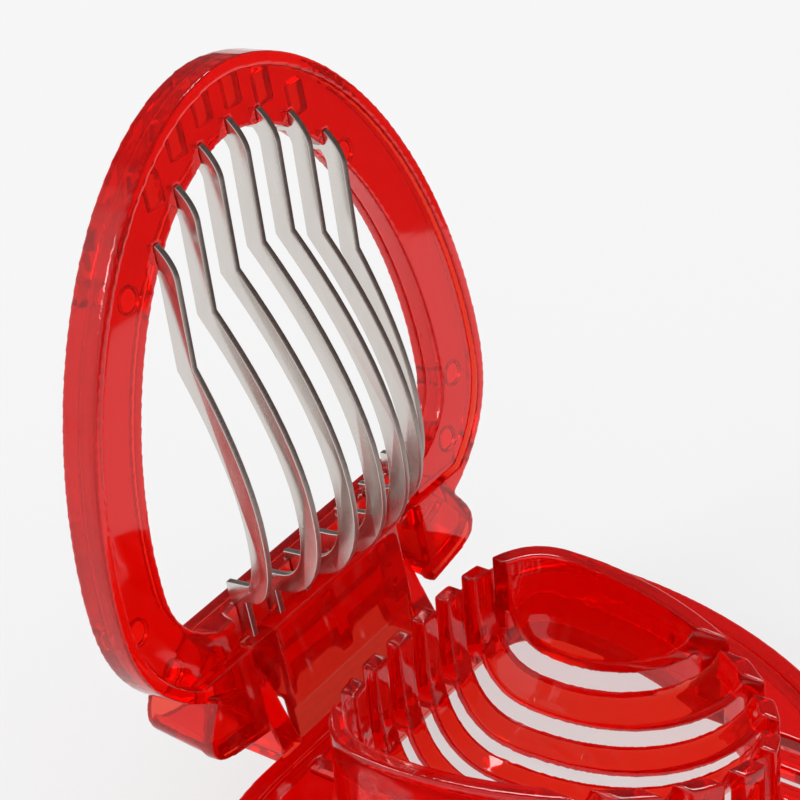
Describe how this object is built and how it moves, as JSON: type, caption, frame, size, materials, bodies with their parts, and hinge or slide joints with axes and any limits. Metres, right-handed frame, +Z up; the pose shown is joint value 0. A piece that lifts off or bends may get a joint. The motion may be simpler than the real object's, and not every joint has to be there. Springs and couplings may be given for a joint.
{
  "type": "fruit and egg slicer",
  "caption": "Hand-held slicer for strawberries and eggs: egg-shaped base with a slotted bowl-shaped cradle, and a hinged ring lid with parallel curved steel blades, shown open.",
  "frame": {"origin": "on the table, at mid-width, under the middle of the thickness of the base's rear wall", "axes": "+Z up, -Y towards the nose of the base, +X to the right seen from the nose; the hinge axis runs along X"},
  "size_m": [0.0734, 0.0859, 0.0951],
  "materials": {
    "base_plastic": "translucent red moulded plastic, polished",
    "cradle_plastic": "translucent red moulded plastic, polished",
    "lid_plastic": "translucent red moulded plastic, polished",
    "retainer_plastic": "translucent red moulded plastic, polished",
    "blade_steel": "stamped stainless steel strip, satin"
  },
  "bodies": {
    "base": {"base_frame": "base_plastic", "slotted_cradle": "cradle_plastic"},
    "lid": {"lid_frame": "lid_plastic", "blade_retainer": "retainer_plastic", "blade_1": "blade_steel", "blade_2": "blade_steel", "blade_3": "blade_steel", "blade_4": "blade_steel", "blade_5": "blade_steel", "blade_6": "blade_steel", "blade_7": "blade_steel"}
  },
  "joints": [
    {"name": "lid_hinge", "type": "hinge", "parent": "base", "child": "lid", "pos_m": [0, 0.0085, 0.0188], "axis": [1, 0, 0], "range_deg": [0, 98.4]}
  ]
}
